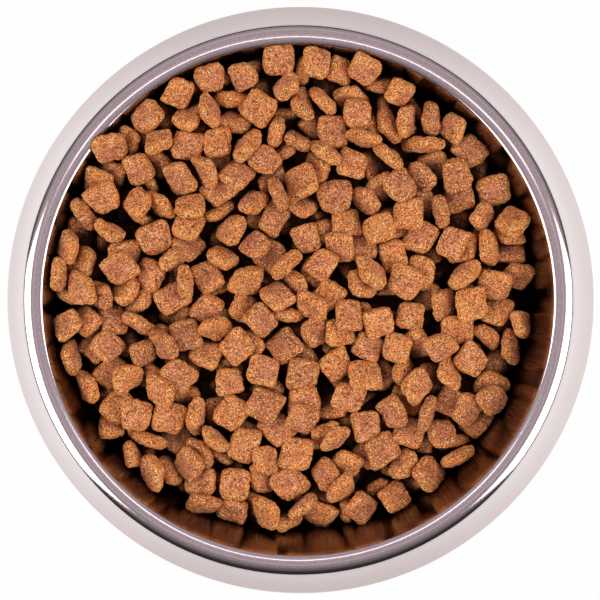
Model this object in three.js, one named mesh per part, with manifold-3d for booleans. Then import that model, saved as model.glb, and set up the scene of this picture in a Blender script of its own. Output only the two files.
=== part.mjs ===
// A steel pet bowl with a splayed skirt and a rubber base ring, filled with a heap of dry food.
// Millimetres, +Z up. The origin is at the middle of the base, on the surface that the bowl stands on.
import * as THREE from "three";
import { mergeVertices } from "three/addons/utils/BufferGeometryUtils.js";
import Module from "manifold-3d";

const wasm = await Module();
wasm.setup();

// Driving dimensions of the steel bowl, pressed from one sheet.
const bowlHeight = 58; // ground to the top of the rim
const rimOuterRadius = 92; // outside of the rounded rim
const rimCrownRadius = 5.7; // outside radius of the rim's rounded top
const rimOuterSpan = 36; // degrees that the top rounds outward from its highest line
const rimInnerSpan = 24; // degrees that it rounds inward
const rimShoulderRadius = 1.2; // outside radius of the turns on both sides of the top
const sheetThickness = 0.8;
const wellGroundGap = 6.2; // ground to the underside of the well's floor
const wellFloorRadius = 50; // flat part of the inside floor
const wellCornerRadius = 23; // between floor and wall, on the middle of the sheet
const rimUndercut = 22; // degrees that the rim curls under itself before the skirt
const neckRadius = 1.5; // hollow turn between rim and skirt, on the middle of the sheet
const skirtTopAngle = 7; // degrees from vertical under the rim
const skirtFootAngle = 22; // degrees from vertical above the hem
const baseRadius = 105; // outside of the hem
const hemRadius = 2.4; // outside radius of the hem's turn
const hemFlange = 7; // length of the flat lip turned in under the skirt
const roundSegments = 64; // facets around the bowl and the ring

// Driving dimensions of the rubber ring under the hem's flat lip.
const ringWidth = 6;
const ringThickness = 3;
const ringChamfer = 0.6;
const ringInset = 0.6; // from the start of the flat lip to the ring's outer edge
const ringSeatGap = 0.3;

// Driving dimensions of the heap, whose top is a part of a large ball, off centre.
const heapClearance = 0.3; // between the food and the steel
const moundRadius = 900;
const summitX = -40;
const summitY = 76;
const summitHeight = 58; // above the ground
const gapDepth = 2.4; // how far the gaps between the top pieces reach down
const beddingDepth = 18; // depth of the layer that is laid piece by piece
const moundFacets = 64; // facets around the whole ball

// Driving dimensions of one piece of food, a small pillow with four rounded corners.
const kibbleSide = 10.4;
const kibbleThickness = 4.8;
const kibbleSideSpread = 0.12; // share by which a side may differ
const kibbleThicknessSpread = 0.14;
const kibbleSkew = 0.14; // sideways lean of a side, as a share of the other side
const cornerPower = 4.2; // 2 makes the outline an ellipse, more makes it squarer
const crownPower = 4; // how flat the face stays towards its edge
const faceShare = 0.66; // where the plain solid's face turns down to its edge, as a share of the half side
const faceFullness = 0.86; // thickness there, as a share of the thickness in the middle
const cornerShare = 0.97; // how far the plain solid's corners reach, as a share of sharp ones

// How the pieces are laid.
const kibbleSeed = 20117;
const kibbleTilt = 88; // largest tilt in degrees as a piece is dropped
const tiltPower = 1.4; // more leaves more pieces lying flat
const leanAllowance = 0.4; // share of its own height by which a piece may stand over the heap's top
const hollowWeight = 1; // how much a piece avoids empty room under it
const reachPower = 0.45; // less drops more pieces near the wall
const dropTries = 60; // places tried for each piece
const settleTries = 70; // smaller and smaller moves from the best of those places
const settleShift = 4;
const settleTurn = 0.6; // radians
const heapTolerance = -1.2; // highest middle of a piece over the heap's top
const patience = 500; // pieces in a row that find no room before the laying ends
const laidPiecesLimit = 2500;
const gridCell = 1;
const probeSteps = 4; // points from the middle of a piece to its edge
const shownCells = 32; // grid cells that a piece has to show from above to be modelled
const fuseDepth = 1; // how far a piece sinks into those that carry it

const degrees = Math.PI / 180;
const halfSheet = sheetThickness / 2;

// Sections are drawn with x as the radius and y as the height.
const at = (x, y) => new THREE.Vector2(x, y);
const along = (angle) => at(Math.cos(angle), Math.sin(angle));

function arc(centre, radius, from, to, steps) {
  const points = [];
  for (let i = 0; i <= steps; i++) {
    const angle = from + ((to - from) * i) / steps;
    points.push(along(angle).multiplyScalar(radius).add(centre));
  }
  return points;
}

// The bowl's sheet runs from the middle of its floor over the rim to the end of the hem.
const floorHeight = wellGroundGap + halfSheet;
const crownArcRadius = rimCrownRadius - halfSheet;
const shoulderArcRadius = rimShoulderRadius - halfSheet;
const shoulderReach = crownArcRadius - shoulderArcRadius;
const outerCrownEnd = Math.PI / 2 - rimOuterSpan * degrees;
const innerCrownEnd = Math.PI / 2 + rimInnerSpan * degrees;
const crownX = rimOuterRadius - rimShoulderRadius - shoulderReach * Math.cos(outerCrownEnd);
const crownCentre = at(crownX, bowlHeight - rimCrownRadius);
const outerShoulder = along(outerCrownEnd).multiplyScalar(shoulderReach).add(crownCentre);
const innerShoulder = along(innerCrownEnd).multiplyScalar(shoulderReach).add(crownCentre);
const cornerCentre = at(wellFloorRadius, floorHeight + wellCornerRadius);

// The wall's line touches the corner on its outer side and the rim's inner shoulder on its inner side.
const cornerToRim = innerShoulder.clone().sub(cornerCentre);
const wallLean = Math.asin((wellCornerRadius + shoulderArcRadius) / cornerToRim.length());
const wallAngle = cornerToRim.angle() + wallLean;
const wallNormal = wallAngle - Math.PI / 2;

const flangeHeight = ringThickness + ringSeatGap + halfSheet;
const hemArcRadius = hemRadius - halfSheet;
const hemCentre = at(baseRadius - hemRadius, flangeHeight + hemArcRadius);

function sheetMiddle() {
  const corner = arc(cornerCentre, wellCornerRadius, -Math.PI / 2, wallNormal, 4);
  const innerTurn = arc(innerShoulder, shoulderArcRadius, wallNormal + Math.PI, innerCrownEnd, 2);
  const crown = arc(crownCentre, crownArcRadius, innerCrownEnd, outerCrownEnd, 4);
  const outerTurn = arc(outerShoulder, shoulderArcRadius, outerCrownEnd, -rimUndercut * degrees, 3);
  const rim = [...innerTurn, ...crown.slice(1), ...outerTurn.slice(1)];
  const neckStart = Math.PI - rimUndercut * degrees;
  const neckCentre = rim.at(-1).clone().sub(along(neckStart).multiplyScalar(neckRadius));
  const neck = arc(neckCentre, neckRadius, neckStart, Math.PI + skirtTopAngle * degrees, 2);
  const hem = arc(hemCentre, hemArcRadius, skirtFootAngle * degrees, -Math.PI / 2, 4);
  const skirtTop = neck.at(-1);
  const skirtFoot = hem[0];
  const reach = skirtTop.distanceTo(skirtFoot) / 3;
  const topHandle = along(-Math.PI / 2 + skirtTopAngle * degrees).multiplyScalar(reach).add(skirtTop);
  const footHandle = along(Math.PI / 2 + skirtFootAngle * degrees).multiplyScalar(reach).add(skirtFoot);
  const skirt = new THREE.CubicBezierCurve(skirtTop, topHandle, footHandle, skirtFoot).getPoints(4);
  const lipEnd = at(hemCentre.x - hemFlange, flangeHeight);
  const well = [at(0, floorHeight), ...corner];
  return [...well, ...rim, ...neck.slice(1), ...skirt.slice(1), ...hem.slice(1), lipEnd];
}

// Moves a line of points sideways by a distance, to its left where the distance is positive.
function offsetLine(points, distance) {
  return points.map((point, i) => {
    const before = points[Math.max(i - 1, 0)];
    const after = points[Math.min(i + 1, points.length - 1)];
    const inward = (i > 0 ? point.clone().sub(before) : after.clone().sub(point)).normalize();
    const outward = (i < points.length - 1 ? after.clone().sub(point) : inward.clone()).normalize();
    const tangent = inward.clone().add(outward).normalize();
    const normal = at(-tangent.y, tangent.x);
    return normal.multiplyScalar(distance / tangent.dot(inward)).add(point);
  });
}

function revolve(section) {
  return new THREE.LatheGeometry(section, roundSegments).rotateX(Math.PI / 2);
}

function bowlGeometry() {
  const middle = sheetMiddle();
  const upper = offsetLine(middle, halfSheet);
  const under = offsetLine(middle, -halfSheet);
  return revolve([...under, ...upper.reverse()]);
}

function ringGeometry() {
  const outer = hemCentre.x - ringInset;
  const inner = outer - ringWidth;
  const section = [
    at(inner + ringChamfer, 0),
    at(outer - ringChamfer, 0),
    at(outer, ringChamfer),
    at(outer, ringThickness),
    at(inner, ringThickness),
    at(inner, ringChamfer),
    at(inner + ringChamfer, 0),
  ];
  return revolve(section);
}

// The inside of the well, kept clear of the steel, and the height of its wall at a radius.
const wellClearance = halfSheet + heapClearance;
const wallSlope = Math.tan(wallAngle);
const wallFoot = along(wallNormal).multiplyScalar(wellCornerRadius - wellClearance).add(cornerCentre);
const wallReach = shoulderArcRadius + wellClearance;
const wallTop = along(wallNormal + Math.PI).multiplyScalar(wallReach).add(innerShoulder);

// The line of the wall goes on above the rim, so that no piece is laid over the edge.
function wallHeight(radius) {
  return radius <= wallFoot.x ? 0 : wallFoot.y + (radius - wallFoot.x) * wallSlope;
}

function moundHeight(x, y) {
  const reach = moundRadius * moundRadius - (x - summitX) ** 2 - (y - summitY) ** 2;
  return summitHeight - moundRadius + Math.sqrt(reach);
}

// Repeatable random numbers between 0 and 1.
let randomState = kibbleSeed;
function random() {
  randomState = (randomState * 16807) % 2147483647;
  return randomState / 2147483647;
}
const either = (size) => (2 * random() - 1) * size;

// Points on the faces of a piece, in its own frame.
function kibblePoints(piece) {
  const points = [];
  for (let i = -probeSteps; i <= probeSteps; i++) {
    for (let j = -probeSteps; j <= probeSteps; j++) {
      const p = i / probeSteps;
      const q = j / probeSteps;
      const edge = Math.max(Math.abs(p), Math.abs(q));
      const outline = (Math.abs(p) ** cornerPower + Math.abs(q) ** cornerPower) ** (1 / cornerPower);
      const round = edge && edge / outline;
      const x = p * round * piece.halfLength;
      const y = q * round * piece.halfWidth + piece.skew * x;
      const z = Math.sqrt(1 - edge ** crownPower) * piece.halfThickness;
      points.push([x, y, z], [x, y, -z]);
    }
  }
  return points;
}

// Turns by spin about the piece's own axis, then leans by tilt, then turns by yaw.
function kibbleTurn({ yaw, tilt, spin }) {
  return new THREE.Matrix4()
    .makeRotationZ(yaw)
    .multiply(new THREE.Matrix4().makeRotationX(tilt))
    .multiply(new THREE.Matrix4().makeRotationZ(spin));
}

// Lays pieces one by one on a map of heights, each at the best of a few places, until the heap is full.
function layKibbles() {
  const half = Math.ceil((rimOuterRadius + kibbleSide) / gridCell);
  const side = 2 * half + 1;
  const heights = new Float64Array(side * side);
  const owners = new Int32Array(side * side).fill(-1);
  const cellAt = (x, y) =>
    (Math.floor(y / gridCell + 0.5) + half) * side + Math.floor(x / gridCell + 0.5) + half;
  for (let row = -half; row <= half; row++) {
    for (let column = -half; column <= half; column++) {
      const x = column * gridCell;
      const y = row * gridCell;
      const wall = wallHeight(Math.sqrt(x * x + y * y) - gridCell / 2);
      heights[cellAt(x, y)] = Math.max(moundHeight(x, y) - beddingDepth, wall);
    }
  }

  // Where the piece would come to rest, how high that is over the heap's top, and how good a place it is.
  function drop(points, place) {
    const m = kibbleTurn(place).elements;
    const turned = points.map(([x, y, z]) => [
      m[0] * x + m[4] * y + m[8] * z,
      m[1] * x + m[5] * y + m[9] * z,
      m[2] * x + m[6] * y + m[10] * z,
    ]);
    let z = -Infinity;
    let rise = -Infinity;
    let below = 0;
    for (const p of turned) {
      const height = heights[cellAt(place.x + p[0], place.y + p[1])];
      z = Math.max(z, height - p[2]);
      rise = Math.max(rise, p[2]);
      below += height / turned.length;
    }
    const over = z - leanAllowance * rise - moundHeight(place.x, place.y);
    return { ...place, z, turned, over, score: over + hollowWeight * (z - below) };
  }

  const laid = [];
  let refused = 0;
  while (refused < patience && laid.length < laidPiecesLimit) {
    const piece = {
      halfLength: (kibbleSide / 2) * (1 + either(kibbleSideSpread)),
      halfWidth: (kibbleSide / 2) * (1 + either(kibbleSideSpread)),
      halfThickness: (kibbleThickness / 2) * (1 + either(kibbleThicknessSpread)),
      skew: either(kibbleSkew),
    };
    const points = kibblePoints(piece);
    const tilt = kibbleTilt * degrees * random() ** tiltPower;
    let best = { score: Infinity };
    for (let i = 0; i < dropTries; i++) {
      const radius = wallTop.x * random() ** reachPower;
      const bearing = 2 * Math.PI * random();
      const place = { x: radius * Math.cos(bearing), y: radius * Math.sin(bearing), tilt };
      place.yaw = 2 * Math.PI * random();
      place.spin = 2 * Math.PI * random();
      const found = drop(points, place);
      if (found.score < best.score) best = found;
    }
    for (let i = 0; i < settleTries; i++) {
      const calm = 1 - i / settleTries;
      const place = { x: best.x + either(settleShift * calm), y: best.y + either(settleShift * calm) };
      place.yaw = best.yaw + either(settleTurn * calm);
      place.tilt = best.tilt + either(settleTurn * calm);
      place.spin = best.spin + either(settleTurn * calm);
      const found = drop(points, place);
      if (found.score < best.score) best = found;
    }
    if (best.over > heapTolerance) {
      refused++;
      continue;
    }
    refused = 0;
    for (const p of best.turned) {
      const cell = cellAt(best.x + p[0], best.y + p[1]);
      if (best.z + p[2] > heights[cell]) {
        heights[cell] = best.z + p[2];
        owners[cell] = laid.length;
      }
    }
    laid.push({ ...piece, ...best });
  }
  for (const piece of laid) piece.cells = 0;
  for (const owner of owners) if (owner >= 0) laid[owner].cells++;
  return laid;
}

// A plain pillow with four sides and crowned faces, in its own frame.
function pillowGeometry({ halfLength, halfWidth, halfThickness, skew }) {
  const section = [
    at(0, -1),
    at(faceShare, -faceFullness),
    at(cornerShare, 0),
    at(faceShare, faceFullness),
    at(0, 1),
  ];
  const shear = new THREE.Matrix4().makeShear(skew, 0, 0, 0, 0, 0);
  return new THREE.LatheGeometry(section, 4)
    .rotateX(Math.PI / 2)
    .rotateZ(Math.PI / 4)
    .scale(halfLength * Math.SQRT2, halfWidth * Math.SQRT2, halfThickness)
    .applyMatrix4(shear);
}

function solidOf(geometry) {
  const bare = geometry.clone();
  bare.deleteAttribute("normal");
  bare.deleteAttribute("uv");
  const merged = mergeVertices(bare, 1e-4);
  const vertProperties = new Float32Array(merged.getAttribute("position").array);
  const triVerts = new Uint32Array(merged.index.array);
  return new wasm.Manifold(new wasm.Mesh({ numProp: 3, vertProperties, triVerts }));
}

function geometryOf(solid) {
  const mesh = solid.getMesh();
  const geometry = new THREE.BufferGeometry();
  geometry.setAttribute("position", new THREE.BufferAttribute(mesh.vertProperties, 3));
  return geometry.setIndex(new THREE.BufferAttribute(mesh.triVerts, 1));
}

// The room that the food may take: the well, and everything straight above its mouth.
function wellRoom() {
  const roof = summitHeight + kibbleSide;
  const floor = floorHeight + wellClearance;
  const corner = arc(cornerCentre, wellCornerRadius - wellClearance, -Math.PI / 2, wallNormal, 4);
  return revolve([at(0, floor), ...corner, wallTop, at(wallTop.x, roof), at(0, roof)]);
}

// A piece whose carriers are hidden and not modelled goes down to the heap below it.
function sunkUntilTouching(piece, carrier) {
  let lowered = piece;
  while (carrier.intersect(lowered).isEmpty()) lowered = lowered.translate(0, 0, -fuseDepth);
  return lowered;
}

// The food up to the bottom of the gaps is solid, and the pieces that show lie on it and on each other.
function heapGeometry() {
  const ball = new THREE.SphereGeometry(moundRadius, moundFacets, moundFacets);
  ball.translate(summitX, summitY, summitHeight - gapDepth - moundRadius);
  const room = solidOf(wellRoom());
  const pieces = layKibbles()
    .filter((piece) => piece.cells >= shownCells)
    .map((piece) => {
      const place = kibbleTurn(piece).setPosition(piece.x, piece.y, piece.z - fuseDepth);
      return solidOf(pillowGeometry(piece).applyMatrix4(place));
    });
  const core = room.intersect(solidOf(ball));
  const heap = wasm.Manifold.union([core, ...pieces]).intersect(room);
  const bodies = heap.decompose().sort((a, b) => b.volume() - a.volume());
  const [main, ...loose] = bodies;
  const whole = loose.reduce((carrier, piece) => carrier.add(sunkUntilTouching(piece, carrier)), main);
  return geometryOf(whole);
}

const steel = new THREE.MeshStandardMaterial({ color: 0xc9c7c8, roughness: 0.22, metalness: 1 });
const rubber = new THREE.MeshStandardMaterial({ color: 0x242326, roughness: 0.8, metalness: 0 });
const food = new THREE.MeshStandardMaterial({ color: 0xa5683f, roughness: 0.9, metalness: 0 });

function named(name, geometry, material) {
  const mesh = new THREE.Mesh(geometry, material);
  mesh.name = name;
  return mesh;
}

const filledBowl = new THREE.Group();
filledBowl.add(named("steel_bowl", bowlGeometry(), steel));
filledBowl.add(named("rubber_base_ring", ringGeometry(), rubber));
filledBowl.add(named("kibble_heap", heapGeometry(), food));

export default filledBowl;
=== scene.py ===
import math

import bmesh
import bpy
import numpy as np
from mathutils import Matrix, Vector


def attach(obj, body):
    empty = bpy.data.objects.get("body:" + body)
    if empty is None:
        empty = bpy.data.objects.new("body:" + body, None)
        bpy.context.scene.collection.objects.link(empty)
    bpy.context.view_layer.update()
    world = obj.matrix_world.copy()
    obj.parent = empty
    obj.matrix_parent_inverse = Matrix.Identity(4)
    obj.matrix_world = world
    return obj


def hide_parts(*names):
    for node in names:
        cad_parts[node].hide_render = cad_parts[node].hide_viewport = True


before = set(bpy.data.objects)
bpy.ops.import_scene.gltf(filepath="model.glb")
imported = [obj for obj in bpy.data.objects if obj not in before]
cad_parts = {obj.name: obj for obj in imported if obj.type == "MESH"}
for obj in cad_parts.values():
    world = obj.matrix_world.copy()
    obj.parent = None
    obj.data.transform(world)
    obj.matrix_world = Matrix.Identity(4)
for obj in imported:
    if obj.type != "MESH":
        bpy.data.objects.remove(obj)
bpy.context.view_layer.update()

MM = 0.001
ROOT = "root"

# Steel bowl, in millimetres, as in the part's source.
BOWL_HEIGHT = 58.0
RIM_OUTER_RADIUS = 92.0
RIM_CROWN_RADIUS = 5.7
RIM_OUTER_SPAN = math.radians(36)
RIM_INNER_SPAN = math.radians(24)
RIM_SHOULDER_RADIUS = 1.2
SHEET_THICKNESS = 0.8
WELL_GROUND_GAP = 6.2
WELL_FLOOR_RADIUS = 50.0
WELL_CORNER_RADIUS = 23.0
RIM_UNDERCUT = math.radians(22)
NECK_RADIUS = 1.5
SKIRT_TOP_ANGLE = math.radians(7)
SKIRT_FOOT_ANGLE = math.radians(22)
BASE_RADIUS = 105.0
HEM_RADIUS = 2.4
HEM_FLANGE = 7.0

# Rubber ring under the hem.
RING_WIDTH = 6.0
RING_THICKNESS = 3.0
RING_EDGE_RADIUS = 0.6
RING_INSET = 0.6
RING_SEAT_GAP = 0.3

# Heap of food.
HEAP_CLEARANCE = 0.3
MOUND_RADIUS = 900.0
SUMMIT_X = -40.0
SUMMIT_Y = 76.0
SUMMIT_HEIGHT = 58.0
BEDDING_DEPTH = 18.0

# One piece of food.
KIBBLE_SIDE = 10.4
KIBBLE_THICKNESS = 4.8
KIBBLE_SIDE_SPREAD = 0.12
KIBBLE_THICKNESS_SPREAD = 0.14
KIBBLE_SKEW = 0.14
CORNER_POWER = 4.2
CROWN_POWER = 4.0

# How the pieces are laid, as in the part's source.
KIBBLE_SEED = 20117
KIBBLE_TILT = math.radians(88)
TILT_POWER = 1.4
LEAN_ALLOWANCE = 0.4
HOLLOW_WEIGHT = 1.0
REACH_POWER = 0.45
DROP_TRIES = 60
SETTLE_TRIES = 70
SETTLE_SHIFT = 4.0
SETTLE_TURN = 0.6
HEAP_TOLERANCE = -1.2
PATIENCE = 500
LAID_PIECES_LIMIT = 2500
GRID_CELL = 1.0
PROBE_STEPS = 4

# Fineness of the modelled surfaces.
BOWL_FACETS = 224
BED_FACETS = 96
BED_RINGS = 24
BED_TOLERANCE = 1e-6
SHOWN_FACETS = 22
HIDDEN_FACETS = 12
SHOWN_CELLS = 14
KIBBLE_BATCHES = 6
ON_AXIS = 1e-6
SHARP_ANGLE = math.radians(40)

# Painted shade: the food's colour darkens downward, by its depth below its surroundings, and partly by that below
# the heap's top, standing in for the shade in the gaps between the pieces.
SURROUNDINGS_REACH = 4.0
MOUND_SHARE = 0.4

HALF_SHEET = SHEET_THICKNESS / 2


# Sections are drawn as points with the radius and the height.


def at(radius, height):
    return np.array((radius, height))


def along(angle):
    return at(math.cos(angle), math.sin(angle))


def length(line):
    return math.hypot(*line)


FLOOR_HEIGHT = WELL_GROUND_GAP + HALF_SHEET
CROWN_ARC_RADIUS = RIM_CROWN_RADIUS - HALF_SHEET
SHOULDER_ARC_RADIUS = RIM_SHOULDER_RADIUS - HALF_SHEET
SHOULDER_REACH = CROWN_ARC_RADIUS - SHOULDER_ARC_RADIUS
OUTER_CROWN_END = math.pi / 2 - RIM_OUTER_SPAN
INNER_CROWN_END = math.pi / 2 + RIM_INNER_SPAN
CROWN_X = RIM_OUTER_RADIUS - RIM_SHOULDER_RADIUS - SHOULDER_REACH * math.cos(OUTER_CROWN_END)
CROWN_CENTRE = at(CROWN_X, BOWL_HEIGHT - RIM_CROWN_RADIUS)
OUTER_SHOULDER = CROWN_CENTRE + along(OUTER_CROWN_END) * SHOULDER_REACH
INNER_SHOULDER = CROWN_CENTRE + along(INNER_CROWN_END) * SHOULDER_REACH
CORNER_CENTRE = at(WELL_FLOOR_RADIUS, FLOOR_HEIGHT + WELL_CORNER_RADIUS)
FLANGE_HEIGHT = RING_THICKNESS + RING_SEAT_GAP + HALF_SHEET
HEM_ARC_RADIUS = HEM_RADIUS - HALF_SHEET
HEM_CENTRE = at(BASE_RADIUS - HEM_RADIUS, FLANGE_HEIGHT + HEM_ARC_RADIUS)

# The wall touches the well's corner on its outer side and the rim's inner shoulder on its inner side.
CORNER_TO_RIM = INNER_SHOULDER - CORNER_CENTRE
WALL_LEAN = math.asin((WELL_CORNER_RADIUS + SHOULDER_ARC_RADIUS) / length(CORNER_TO_RIM))
WALL_ANGLE = math.atan2(CORNER_TO_RIM[1], CORNER_TO_RIM[0]) + WALL_LEAN
WALL_NORMAL = WALL_ANGLE - math.pi / 2
WALL_SLOPE = math.tan(WALL_ANGLE)

# The inside of the well, kept clear of the steel.
WELL_CLEARANCE = HALF_SHEET + HEAP_CLEARANCE
FOOT_RADIUS, FOOT_HEIGHT = CORNER_CENTRE + along(WALL_NORMAL) * (WELL_CORNER_RADIUS - WELL_CLEARANCE)
MOUTH_RADIUS = (INNER_SHOULDER - along(WALL_NORMAL) * (SHOULDER_ARC_RADIUS + WELL_CLEARANCE))[0]


def arc(centre, radius, start, end, steps):
    return [centre + along(start + (end - start) * i / steps) * radius for i in range(steps + 1)]


def bezier(a, b, c, d, steps):
    points = []
    for i in range(steps + 1):
        t = i / steps
        s = 1 - t
        points.append(a * s**3 + b * 3 * s * s * t + c * 3 * s * t * t + d * t**3)
    return points


def straight(start, end, steps):
    return [start + (end - start) * i / steps for i in range(steps + 1)]


def sheet_middle():
    corner = arc(CORNER_CENTRE, WELL_CORNER_RADIUS, -math.pi / 2, WALL_NORMAL, 20)
    rim = arc(INNER_SHOULDER, SHOULDER_ARC_RADIUS, WALL_NORMAL + math.pi, INNER_CROWN_END, 8)
    rim += arc(CROWN_CENTRE, CROWN_ARC_RADIUS, INNER_CROWN_END, OUTER_CROWN_END, 20)[1:]
    rim += arc(OUTER_SHOULDER, SHOULDER_ARC_RADIUS, OUTER_CROWN_END, -RIM_UNDERCUT, 12)[1:]
    neck_start = math.pi - RIM_UNDERCUT
    neck_centre = rim[-1] - along(neck_start) * NECK_RADIUS
    neck = arc(neck_centre, NECK_RADIUS, neck_start, math.pi + SKIRT_TOP_ANGLE, 6)
    hem = arc(HEM_CENTRE, HEM_ARC_RADIUS, SKIRT_FOOT_ANGLE, -math.pi / 2, 12)
    reach = length(hem[0] - neck[-1]) / 3
    top_handle = neck[-1] + along(-math.pi / 2 + SKIRT_TOP_ANGLE) * reach
    foot_handle = hem[0] + along(math.pi / 2 + SKIRT_FOOT_ANGLE) * reach
    skirt = bezier(neck[-1], top_handle, foot_handle, hem[0], 20)
    lip_end = at(HEM_CENTRE[0] - HEM_FLANGE, FLANGE_HEIGHT)
    floor = straight(at(0, FLOOR_HEIGHT), corner[0], 4)
    wall = straight(corner[-1], rim[0], 6)
    return floor + corner[1:] + wall[1:] + rim[1:] + neck[1:] + skirt[1:] + hem[1:] + [lip_end]


def offset_line(points, distance):
    """Moves a line of points sideways, to its left where the distance is positive."""
    moved = []
    for i, point in enumerate(points):
        before = points[max(i - 1, 0)]
        after = points[min(i + 1, len(points) - 1)]
        inward = point - before if i else after - point
        outward = after - point if i < len(points) - 1 else inward
        inward = inward / length(inward)
        tangent = inward + outward / length(outward)
        tangent = tangent / length(tangent)
        moved.append(point + at(-tangent[1], tangent[0]) * (distance / (tangent @ inward)))
    return moved


def rounded_section(low, high, radius, steps=5):
    """A rectangle between two corners, with its own corners rounded."""
    near, far = low + radius, high - radius
    centres = (at(far[0], near[1]), far, at(near[0], far[1]), near)
    section = []
    for quarter, centre in enumerate(centres, start=-1):
        section += arc(centre, radius, quarter * math.pi / 2, (quarter + 1) * math.pi / 2, steps)
    return section


# Meshes.


def piece_from_mesh(name, mesh, slot, material, *nodes):
    piece = bpy.data.objects.new(name, mesh)
    bpy.context.scene.collection.objects.link(piece)
    mesh.materials.append(material)
    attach(piece, ROOT)
    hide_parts(*nodes)


def lathe_mesh(name, section, facets):
    """Turns a section, in millimetres, about Z. Points on the axis become one vertex each."""
    shape = bmesh.new()
    rings = []
    for radius, height in section:
        if radius < ON_AXIS:
            rings.append([shape.verts.new((0, 0, height * MM))] * facets)
            continue
        spots = [along(2 * math.pi * i / facets) * radius * MM for i in range(facets)]
        rings.append([shape.verts.new((*spot, height * MM)) for spot in spots])
    if section[0][0] > ON_AXIS:
        rings.append(rings[0])
    for lower, upper in zip(rings, rings[1:]):
        for i in range(facets):
            j = (i + 1) % facets
            face = list(dict.fromkeys((lower[i], lower[j], upper[j], upper[i])))
            if len(face) > 2:
                shape.faces.new(face)
    bmesh.ops.recalc_face_normals(shape, faces=shape.faces)
    mesh = bpy.data.meshes.new(name)
    shape.to_mesh(mesh)
    shape.free()
    mesh.shade_smooth()
    mesh.set_sharp_from_angle(angle=SHARP_ANGLE)
    return mesh


# Laying the food.


class Draws:
    """Repeatable random numbers between 0 and 1."""

    def __init__(self, seed):
        self.state = seed

    def unit(self):
        self.state = self.state * 16807 % 2147483647
        return self.state / 2147483647

    def either(self, size):
        return (2 * self.unit() - 1) * size


def wall_height(radius):
    """The wall's line, which goes on above the rim, so that no piece is laid over the edge."""
    return 0.0 if radius <= FOOT_RADIUS else FOOT_HEIGHT + (radius - FOOT_RADIUS) * WALL_SLOPE


def mound_height(x, y):
    reach = MOUND_RADIUS * MOUND_RADIUS - (x - SUMMIT_X) ** 2 - (y - SUMMIT_Y) ** 2
    return SUMMIT_HEIGHT - MOUND_RADIUS + np.sqrt(reach)


def pillow(steps, half_length, half_width, half_thickness, skew, corner_power=CORNER_POWER):
    """Points over a square grid from -1 to 1, mapped to a pillow's upper face."""
    p, q = np.meshgrid(steps, steps, indexing="ij")
    edge = np.maximum(abs(p), abs(q))
    outline = (abs(p) ** corner_power + abs(q) ** corner_power) ** (1 / corner_power)
    rounding = np.divide(edge, outline, out=np.zeros_like(edge), where=edge > 0)
    x = p * rounding * half_length
    y = q * rounding * half_width + skew * x
    z = np.sqrt(np.maximum(1 - edge**CROWN_POWER, 0)) * half_thickness
    return x, y, z, edge


def kibble_points(kibble):
    steps = np.arange(-PROBE_STEPS, PROBE_STEPS + 1) / PROBE_STEPS
    x, y, z, _ = pillow(steps, *kibble["size"])
    return np.concatenate([np.stack([x, y, side * z], -1).reshape(-1, 3) for side in (1, -1)])


def turning(place):
    cy, sy = math.cos(place["yaw"]), math.sin(place["yaw"])
    ct, st = math.cos(place["tilt"]), math.sin(place["tilt"])
    cs, ss = math.cos(place["spin"]), math.sin(place["spin"])
    return np.array(
        [
            [cy * cs - sy * ct * ss, -cy * ss - sy * ct * cs, sy * st],
            [sy * cs + cy * ct * ss, -sy * ss + cy * ct * cs, -cy * st],
            [st * ss, st * cs, ct],
        ]
    )


def surroundings(heights):
    """The mean height around each cell of the map."""
    reach = round(SURROUNDINGS_REACH / GRID_CELL)
    shifts = range(-reach, reach + 1)
    total = sum(np.roll(heights, (row, column), (0, 1)) for row in shifts for column in shifts)
    return total / len(shifts) ** 2


def cells_of(places, half):
    """Row and column of the map's cell at each place. The map's middle is half its width from its corner."""
    return tuple(np.floor(places[:, axis] / GRID_CELL + 0.5).astype(int) + half for axis in (1, 0))


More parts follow.
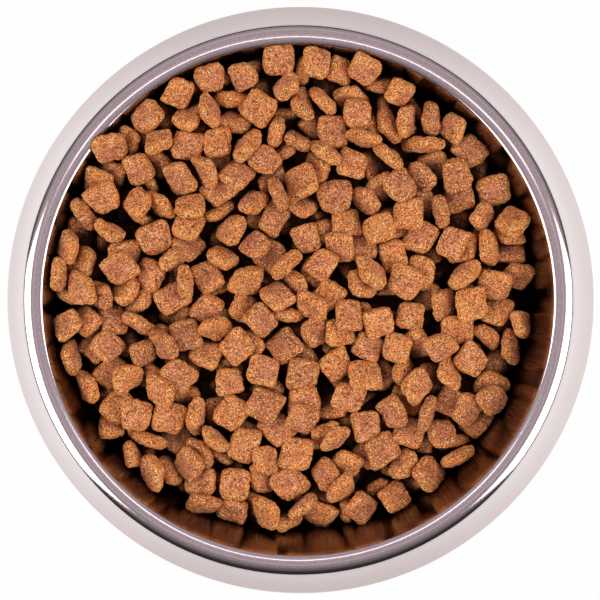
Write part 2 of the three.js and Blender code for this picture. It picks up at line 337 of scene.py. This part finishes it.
def lay_kibbles():
    """Lays pieces one by one on a map of heights, each at the best of a few places, until the heap is full."""
    half = math.ceil((RIM_OUTER_RADIUS + KIBBLE_SIDE) / GRID_CELL)
    ticks = np.arange(-half, half + 1) * GRID_CELL

    def ground(x, y):
        wall = wall_height(math.sqrt(x * x + y * y) - GRID_CELL / 2)
        return max(mound_height(x, y) - BEDDING_DEPTH, wall)

    heights = np.array([[ground(x, y) for x in ticks] for y in ticks])
    owners = np.full(heights.shape, -1)
    draws = Draws(KIBBLE_SEED)

    def drop(points, place):
        turned = points @ turning(place).T
        rows, columns = cells_of(turned[:, :2] + (place["x"], place["y"]), half)
        below = heights[rows, columns]
        z = (below - turned[:, 2]).max()
        over = z - LEAN_ALLOWANCE * turned[:, 2].max() - mound_height(place["x"], place["y"])
        score = over + HOLLOW_WEIGHT * (z - below.mean())
        return dict(place, z=z, over=over, score=score, cells=(rows, columns), rise=turned[:, 2])

    laid = []
    refused = 0
    while refused < PATIENCE and len(laid) < LAID_PIECES_LIMIT:
        length = KIBBLE_SIDE / 2 * (1 + draws.either(KIBBLE_SIDE_SPREAD))
        width = KIBBLE_SIDE / 2 * (1 + draws.either(KIBBLE_SIDE_SPREAD))
        thickness = KIBBLE_THICKNESS / 2 * (1 + draws.either(KIBBLE_THICKNESS_SPREAD))
        kibble = {"size": (length, width, thickness, draws.either(KIBBLE_SKEW))}
        points = kibble_points(kibble)
        tilt = KIBBLE_TILT * draws.unit() ** TILT_POWER
        best = {"score": math.inf}
        for _ in range(DROP_TRIES):
            radius = MOUTH_RADIUS * draws.unit() ** REACH_POWER
            bearing = 2 * math.pi * draws.unit()
            place = {"x": radius * math.cos(bearing), "y": radius * math.sin(bearing), "tilt": tilt}
            place["yaw"] = 2 * math.pi * draws.unit()
            place["spin"] = 2 * math.pi * draws.unit()
            found = drop(points, place)
            if found["score"] < best["score"]:
                best = found
        for i in range(SETTLE_TRIES):
            calm = 1 - i / SETTLE_TRIES
            place = {side: best[side] + draws.either(SETTLE_SHIFT * calm) for side in ("x", "y")}
            for turn in ("yaw", "tilt", "spin"):
                place[turn] = best[turn] + draws.either(SETTLE_TURN * calm)
            found = drop(points, place)
            if found["score"] < best["score"]:
                best = found
        if best["over"] > HEAP_TOLERANCE:
            refused += 1
            continue
        refused = 0
        tops = best["z"] + best["rise"]
        order = np.argsort(tops)
        cells = tuple(axis[order] for axis in best["cells"])
        higher = tops[order] > heights[cells]
        seen = tuple(axis[higher] for axis in cells)
        heights[seen] = tops[order][higher]
        owners[seen] = len(laid)
        laid.append({**kibble, **best})
    for index, kibble in enumerate(laid):
        kibble["shown"] = np.count_nonzero(owners == index)
    return laid, surroundings(heights)


def value_noise(points, wavelength, rng):
    """Smooth random bumps between -1 and 1."""
    size = 32
    lattice = rng.uniform(-1, 1, (size, size, size))
    spots = points / wavelength
    base = np.floor(spots).astype(int)
    t = spots - base
    t = t * t * (3 - 2 * t)
    total = np.zeros(len(points))
    for corner in np.ndindex(2, 2, 2):
        weight = np.prod(np.where(corner, t, 1 - t), axis=1)
        index = (base + corner) % size
        total += weight * lattice[index[:, 0], index[:, 1], index[:, 2]]
    return total


LUMPS = ((4.5, 0.34), (2.2, 0.24), (0.9, 0.3))


def pillow_quads(n):
    """Faces of a pillow: its upper grid, then its lower one, which shares the upper one's edge."""
    top = np.arange((n + 1) ** 2).reshape(n + 1, n + 1)
    under = top.copy()
    under[1:n, 1:n] = (n + 1) ** 2 + np.arange((n - 1) ** 2).reshape(n - 1, n - 1)
    quads = []
    for grid, order in ((top, 1), (under, -1)):
        corners = np.stack([grid[:-1, :-1], grid[1:, :-1], grid[1:, 1:], grid[:-1, 1:]], -1).reshape(-1, 4)
        quads.append(corners[:, ::order])
    return np.concatenate(quads)


def kibble_shape(kibble, n, rng):
    """One piece with its own roundness, taper, cup and lumps, and how near its edge each point is."""
    half = kibble["size"][0]
    spread = np.linspace(-1, 1, n + 1)
    steps = 0.6 * spread + 0.4 * np.sin(spread * math.pi / 2)
    x, y, z, edge = pillow(steps, *kibble["size"], rng.uniform(3.0, 6.0))
    heading = rng.uniform(0, math.pi)
    across = (x * math.cos(heading) + y * math.sin(heading)) / half
    bend = rng.uniform(-0.2, 1.2) * (across**2 - 0.4)
    y = y * (1 + rng.uniform(-0.14, 0.14) * x / half)
    upper = np.stack([x, y, bend + z], -1)
    lower = np.stack([x, y, bend - z], -1)
    own = np.concatenate([upper.reshape(-1, 3), lower[1:n, 1:n].reshape(-1, 3)])
    edges = np.concatenate([edge.reshape(-1), edge[1:n, 1:n].reshape(-1)])
    outward = own / np.array(kibble["size"][:3]) ** 2
    outward /= np.maximum(np.linalg.norm(outward, axis=1, keepdims=True), 1e-6)
    for wavelength, depth in LUMPS:
        drift = rng.uniform(0, 30, 3)
        own = own + outward * (depth * value_noise(own + drift, wavelength, rng))[:, None]
    return own, edges


def kibble_meshes(material):
    """Detailed pieces, shared out over a few meshes that each reach over the whole heap."""
    laid, around = lay_kibbles()
    half = len(around) // 2
    rng = np.random.default_rng(KIBBLE_SEED)
    for batch in range(KIBBLE_BATCHES):
        places, faces, tones, edges, painted_shade_depths = [], [], [], [], []
        count = 0
        for kibble in laid[batch::KIBBLE_BATCHES]:
            facets = SHOWN_FACETS if kibble["shown"] >= SHOWN_CELLS else HIDDEN_FACETS
            own, edge = kibble_shape(kibble, facets, rng)
            faces.append(pillow_quads(facets) + count)
            placed = own @ turning(kibble).T + np.array([kibble["x"], kibble["y"], kibble["z"]])
            # Painted shade: how far each point lies below its surroundings and below the mound, which darkens its
            # colour.
            below_around = around[cells_of(placed, half)] - placed[:, 2]
            below_mound = mound_height(placed[:, 0], placed[:, 1]) - placed[:, 2]
            painted_shade_depths.append(below_around + MOUND_SHARE * below_mound)
            places.append(placed)
            tones.append(np.full(len(own), rng.uniform()))
            edges.append(edge)
            count += len(own)
        mesh = bpy.data.meshes.new(f"kibbles_{batch + 1}")
        points = np.concatenate(places) * MM
        loops = np.concatenate(faces).astype(np.int32)
        mesh.vertices.add(len(points))
        mesh.vertices.foreach_set("co", points.ravel())
        mesh.loops.add(loops.size)
        mesh.loops.foreach_set("vertex_index", loops.ravel())
        mesh.polygons.add(len(loops))
        mesh.polygons.foreach_set("loop_start", np.arange(0, loops.size, 4, dtype=np.int32))
        mesh.attributes.new("tone", "FLOAT", "POINT").data.foreach_set("value", np.concatenate(tones))
        mesh.attributes.new("edge", "FLOAT", "POINT").data.foreach_set("value", np.concatenate(edges))
        mesh.attributes.new("depth", "FLOAT", "POINT").data.foreach_set("value", np.concatenate(painted_shade_depths))
        mesh.update(calc_edges=True)
        mesh.validate()
        mesh.shade_smooth()
        piece_from_mesh(mesh.name, mesh, "dry_food", material, "kibble_heap")


def food_bed_mesh():
    """The food under the laid pieces: it fills the well up to a mound."""
    shape = bmesh.new()
    headings = [along(2 * math.pi * i / BED_FACETS) for i in range(BED_FACETS)]

    def bed_height(x, y):
        return mound_height(x, y) - BEDDING_DEPTH

    def reach(heading):
        low, high = 0.0, MOUTH_RADIUS
        while high - low > BED_TOLERANCE:
            middle = (low + high) / 2
            inside = wall_height(middle) < bed_height(*heading * middle)
            low, high = (middle, high) if inside else (low, middle)
        return low

    edge = [heading * reach(heading) for heading in headings]
    rings = []
    for ring in range(1, BED_RINGS + 1):
        spots = [spot * ring / BED_RINGS for spot in edge]
        rings.append([shape.verts.new((*spot * MM, bed_height(*spot) * MM)) for spot in spots])
    corner = arc(CORNER_CENTRE, WELL_CORNER_RADIUS - WELL_CLEARANCE, WALL_NORMAL, -math.pi / 2, 10)
    for radius, height in corner:
        rings.append([shape.verts.new((*heading * radius * MM, height * MM)) for heading in headings])
    top = shape.verts.new((0, 0, bed_height(0, 0) * MM))
    bottom = shape.verts.new((0, 0, corner[-1][1] * MM))
    for i in range(BED_FACETS):
        j = (i + 1) % BED_FACETS
        shape.faces.new((top, rings[0][i], rings[0][j]))
        shape.faces.new((bottom, rings[-1][j], rings[-1][i]))
        for inner, outer in zip(rings, rings[1:]):
            shape.faces.new((inner[i], outer[i], outer[j], inner[j]))
    bmesh.ops.recalc_face_normals(shape, faces=shape.faces)
    mesh = bpy.data.meshes.new("food_bed")
    shape.to_mesh(mesh)
    shape.free()
    return mesh


# Materials.


class Wire:
    """One socket of a material's nodes. Arithmetic on it adds Math nodes."""

    def __init__(self, tree, socket=None):
        self.tree = tree
        self.socket = socket

    def node(self, kind, settings=None, inputs=None, output=0):
        made = self.tree.nodes.new(kind)
        for name, value in (settings or {}).items():
            setattr(made, name, value)
        for name, value in (inputs or {}).items():
            if isinstance(value, Wire):
                self.tree.links.new(value.socket, made.inputs[name])
            else:
                made.inputs[name].default_value = value
        return Wire(self.tree, made.outputs[output] if made.outputs else None)

    def math(self, operation, *values):
        return self.node("ShaderNodeMath", {"operation": operation}, dict(enumerate(values)))

    def __add__(self, other):
        return self.math("ADD", self, other)

    __radd__ = __add__

    def __mul__(self, other):
        return self.math("MULTIPLY", self, other)

    __rmul__ = __mul__

    def __sub__(self, other):
        return self.math("SUBTRACT", self, other)

    def __rsub__(self, other):
        return self.math("SUBTRACT", other, self)

    def __truediv__(self, other):
        return self.math("DIVIDE", self, other)

    def ramp(self, low, high):
        """0 below low, 1 above high, smooth between."""
        settings = {"interpolation_type": "SMOOTHSTEP"}
        return self.node("ShaderNodeMapRange", settings, {"Value": self, "From Min": low, "From Max": high})

    def mix(self, first, second):
        """The first colour where this is 0, the second where it is 1."""
        return self.node("ShaderNodeMix", {"data_type": "RGBA"}, {0: self, 6: first, 7: second}, 2)


def linear(red, green, blue):
    """A colour given as it looks on a screen, from 0 to 255."""
    return tuple(((c / 255 + 0.055) / 1.055) ** 2.4 for c in (red, green, blue)) + (1.0,)


def new_material(name):
    material = bpy.data.materials.new(name)
    material.use_nodes = True
    tree = material.node_tree
    tree.nodes.clear()
    return material, Wire(tree)


def finish_surface(wires, inputs):
    surface = wires.node("ShaderNodeBsdfPrincipled", None, inputs)
    wires.node("ShaderNodeOutputMaterial", None, {"Surface": surface})


def noise(wires, where, scale, detail=3.0, roughness=0.5):
    inputs = {"Vector": where, "Scale": scale, "Detail": detail, "Roughness": roughness}
    return wires.node("ShaderNodeTexNoise", None, inputs)


def stored(wires, name):
    """A number that the mesh holds at each of its points."""
    return wires.node("ShaderNodeAttribute", {"attribute_name": name}, output="Fac")


def kibble_material():
    material, wires = new_material("dry_food")
    where = wires.node("ShaderNodeTexCoord", output="Object")
    tone, edge, depth = (stored(wires, name) for name in ("tone", "edge", "depth"))
    grain = noise(wires, where, 2000, 4, 0.7)
    blotch = noise(wires, where, 260, 4, 0.65)
    pores = noise(wires, where, 900, 3, 0.6)
    flecks = noise(wires, where, 1900, 1, 0.4)
    face = blotch.ramp(0.34, 0.68).mix(linear(210, 126, 86), linear(250, 164, 112))
    # Painted highlight: this orange goes on each piece's edges, lighter than its face, where the sides catch the
    # light; it is also the real warm tone of some whole pieces.
    orange_tone_and_highlight = blotch.ramp(0.3, 0.7).mix(linear(242, 138, 66), linear(255, 176, 98))
    body = (edge.ramp(0.45, 0.95) * (0.6 + 0.4 * blotch)).mix(face, orange_tone_and_highlight)
    warm = (tone.ramp(0.4, 1.0) * 0.6).mix(body, orange_tone_and_highlight)
    toned = (tone.ramp(0.4, 0.0) * 0.3).mix(warm, linear(150, 84, 52))
    grained = (grain.ramp(0.56, 0.41) * 0.82).mix(toned, linear(104, 46, 20))
    dark = (pores.ramp(0.55, 0.68) * 0.6).mix(grained, linear(84, 34, 14))
    pale = (flecks.ramp(0.6, 0.67) * (0.5 + 0.5 * edge)).mix(dark, linear(255, 212, 156))
    # Painted shade: points that lie deep below their surroundings are painted nearly black.
    food = (depth.ramp(-0.6, 4.6) * 0.97).mix(pale, linear(24, 4, 1))
    relief = grain * 0.6 - pores.ramp(0.5, 0.75) * 0.5
    normal = wires.node("ShaderNodeBump", None, {"Height": relief, "Strength": 1.0, "Distance": 0.0009})
    inputs = {"Base Color": food, "Roughness": 0.8 + 0.2 * grain, "Normal": normal, "Specular IOR Level": 0.1}
    finish_surface(wires, inputs)
    return material


def food_bed_material():
    material, wires = new_material("food_below_painted_shade")
    where = wires.node("ShaderNodeTexCoord", output="Object")
    # Painted shade: the food under the laid pieces is coloured dark brown, standing in for the shade in the gaps
    # between them.
    body = noise(wires, where, 300).mix(linear(40, 22, 12), linear(80, 46, 26))
    finish_surface(wires, {"Base Color": body, "Roughness": 0.9})
    return material


def steel_material():
    """Polished outside, with turned streaks on the rim, and brushed inside, where its colour is darker as painted
    shade, standing in for the dim reflection of the shaded food.
    """
    material, wires = new_material("polished_steel")
    where = wires.node("ShaderNodeTexCoord", output="Object")
    flat = wires.node("ShaderNodeVectorMath", {"operation": "MULTIPLY"}, {0: where, 1: (1, 1, 0)})
    radius = wires.node("ShaderNodeVectorMath", {"operation": "LENGTH"}, {0: flat}, "Value")
    height = wires.node("ShaderNodeSeparateXYZ", None, {"Vector": where}, "Z")
    turned = wires.node("ShaderNodeCombineXYZ", None, {"X": radius, "Y": height})
    lines = noise(wires, turned, 9000, 2, 0.6)
    streaks = noise(wires, turned, 1500, 2, 0.6)
    speckle = noise(wires, where, 2600, 2, 0.6)
    cloud = noise(wires, where, 60, 3, 0.5)
    inside = radius.ramp(0.0853, 0.0843)
    on_rim = height.ramp(0.0495, 0.0515) * (1 - inside)
    skin = cloud.mix(linear(215, 196, 195), linear(221, 203, 201))
    worn = (streaks * 0.55 + speckle * 0.45).ramp(0.38, 0.62)
    rim = (worn * on_rim).mix(skin, linear(178, 166, 169))
    # Painted shade: the steel inside the well is coloured darker, for the dim reflection of the food lying in
    # shade.
    colour = inside.mix(rim, linear(142, 124, 116))
    relief = lines * (0.2 + 0.8 * inside)
    normal = wires.node("ShaderNodeBump", None, {"Height": relief, "Strength": 1.0, "Distance": 0.00002})
    inputs = {"Base Color": colour, "Metallic": 1.0, "Roughness": 0.08 + 0.08 * lines, "Normal": normal}
    finish_surface(wires, inputs)
    return material


def rubber_material():
    material, wires = new_material("black_rubber")
    where = wires.node("ShaderNodeTexCoord", output="Object")
    dust = noise(wires, where, 400, 4, 0.6)
    colour = dust.mix(linear(28, 27, 29), linear(48, 46, 48))
    normal = wires.node("ShaderNodeBump", None, {"Height": dust, "Strength": 0.2, "Distance": 0.0002})
    finish_surface(wires, {"Base Color": colour, "Roughness": 0.65 + 0.2 * dust, "Normal": normal})
    return material


# The object.

middle = sheet_middle()
bowl_section = offset_line(middle, -HALF_SHEET) + offset_line(middle, HALF_SHEET)[::-1]
bowl_mesh = lathe_mesh("pressed_bowl", bowl_section, BOWL_FACETS)
piece_from_mesh("pressed_bowl", bowl_mesh, "polished_steel", steel_material(), "steel_bowl")

ring_outer = HEM_CENTRE[0] - RING_INSET
ring_section = rounded_section(at(ring_outer - RING_WIDTH, 0), at(ring_outer, RING_THICKNESS), RING_EDGE_RADIUS)
ring_mesh = lathe_mesh("grip_ring", ring_section, BOWL_FACETS)
piece_from_mesh("grip_ring", ring_mesh, "black_rubber", rubber_material(), "rubber_base_ring")

piece_from_mesh("food_bed", food_bed_mesh(), "dry_food", food_bed_material(), "kibble_heap")
kibble_meshes(kibble_material())


# Floor, light and camera.

CAMERA_PLACE = Vector((0.011, 0.0, 0.758))
CAMERA_TARGET = Vector((0.0, 0.0, 0.0057))
IMAGE_SIDE = 600
FOCAL_PIXELS = 2100
SENSOR = 36.0

# The floor in metres, and the dark band around it in millimetres.
STAGE_FACETS = 96
FLOOR_RADIUS = 4
BAND_RADIUS = 260
BAND_THICKNESS = 2
BAND_FOOT = 1
BAND_TOP = 90

# The softboxes stand to both sides, and the card hangs over the back of the bowl, in metres and watts.
SOFTBOX_PLACE = Vector((0.9, -0.25, 0.65))
SOFTBOX_SIZE = (0.95, 0.9)
SOFTBOX_POWER = 11.5
CARD_PLACE = Vector((0.0, 0.09, 0.55))
CARD_SIZE = (0.3, 0.04)
CARD_POWER = 0.1


def white_floor():
    """White to the camera. The steel sees it a little darker in front of and behind the bowl than beside it:
    painted shade, for the lamps that stand to the sides.
    """
    material, wires = new_material("white_floor")
    seen = wires.node("ShaderNodeLightPath", output="Is Camera Ray")
    shiny = wires.node("ShaderNodeLightPath", output="Is Glossy Ray")
    through = wires.node("ShaderNodeLightPath", output="Is Transmission Ray")
    where = wires.node("ShaderNodeTexCoord", output="Object")
    across, onward = (wires.node("ShaderNodeSeparateXYZ", None, {"Vector": where}, axis) for axis in "XY")
    sideways, lengthways = (part.math("ABSOLUTE", part) for part in (across, onward))
    beside = sideways / (sideways + lengthways)
    # Painted shade: glossy rays see the floor darker in front of and behind the bowl than beside it.
    white = (shiny * (1 - beside.ramp(0.2, 0.7))).mix((1, 1, 1, 1), (0.76, 0.72, 0.73, 1))
    matte = wires.node("ShaderNodeBsdfDiffuse", None, {"Color": (0.72, 0.72, 0.72, 1)})
    glow = wires.node("ShaderNodeEmission", None, {"Color": white, "Strength": 1.0})
    share = (seen + through) * 0.97 + shiny * 0.9
    both = wires.node("ShaderNodeMixShader", None, {0: share, 1: matte, 2: glow})
    wires.node("ShaderNodeOutputMaterial", None, {"Surface": both})
    shape = bmesh.new()
    bmesh.ops.create_circle(shape, cap_ends=True, segments=STAGE_FACETS, radius=FLOOR_RADIUS)
    mesh = bpy.data.meshes.new("floor")
    shape.to_mesh(mesh)
    shape.free()
    mesh.materials.append(material)
    floor = bpy.data.objects.new("floor", mesh)
    bpy.context.scene.collection.objects.link(floor)


def dark_band():
    """A dark strip that stands around the table out of view, so that the steel's edges are drawn by a dark line."""
    material, wires = new_material("dark_band")
    matte = wires.node("ShaderNodeBsdfDiffuse", None, {"Color": (0.01, 0.01, 0.01, 1)})
    wires.node("ShaderNodeOutputMaterial", None, {"Surface": matte})
    inner, outer = BAND_RADIUS, BAND_RADIUS + BAND_THICKNESS
    section = [at(inner, BAND_FOOT), at(outer, BAND_FOOT), at(outer, BAND_TOP), at(inner, BAND_TOP)]
    mesh = lathe_mesh("dark_band", section, STAGE_FACETS)
    mesh.materials.append(material)
    band = bpy.data.objects.new("dark_band", mesh)
    band.visible_camera = False
    band.visible_diffuse = False
    band.visible_shadow = False
    bpy.context.scene.collection.objects.link(band)


def soft_lamp(name, place, size, power):
    lamp = bpy.data.lights.new(name, "AREA")
    lamp.shape = "RECTANGLE"
    lamp.size, lamp.size_y = size
    lamp.energy = power
    holder = bpy.data.objects.new(name, lamp)
    holder.location = place
    holder.rotation_euler = (-place).to_track_quat("-Z", "Y").to_euler()
    bpy.context.scene.collection.objects.link(holder)


def studio_sky():
    world = bpy.data.worlds.new("studio")
    bpy.context.scene.world = world
    world.use_nodes = True
    tree = world.node_tree
    tree.nodes.clear()
    wires = Wire(tree)
    where = wires.node("ShaderNodeTexCoord", output="Generated")
    height = wires.node("ShaderNodeSeparateXYZ", None, {"Vector": where}, "Z")
    back = wires.node("ShaderNodeSeparateXYZ", None, {"Vector": where}, "Y")
    colour = (height + 0.45 * back).ramp(0.0, 1.1).mix((0.05, 0.05, 0.05, 1), (0.64, 0.59, 0.64, 1))
    light = wires.node("ShaderNodeBackground", None, {"Color": colour, "Strength": 1.0})
    wires.node("ShaderNodeOutputWorld", None, {"Surface": light})


def top_camera():
    camera = bpy.data.cameras.new("camera")
    camera.sensor_width = SENSOR
    camera.lens = SENSOR * FOCAL_PIXELS / IMAGE_SIDE
    holder = bpy.data.objects.new("camera", camera)
    back = (CAMERA_PLACE - CAMERA_TARGET).normalized()
    right = Vector((0, 1, 0)).cross(back).normalized()
    up = back.cross(right)
    turn = Matrix((right, up, back)).transposed().to_4x4()
    holder.matrix_world = Matrix.Translation(CAMERA_PLACE) @ turn
    bpy.context.scene.collection.objects.link(holder)
    bpy.context.scene.camera = holder


white_floor()
dark_band()
studio_sky()
soft_lamp("left_softbox", SOFTBOX_PLACE * Vector((-1, 1, 1)), SOFTBOX_SIZE, SOFTBOX_POWER)
soft_lamp("right_softbox", SOFTBOX_PLACE, SOFTBOX_SIZE, SOFTBOX_POWER)
soft_lamp("back_card", CARD_PLACE, CARD_SIZE, CARD_POWER)
top_camera()

view = bpy.context.scene.view_settings
view.view_transform = "Standard"
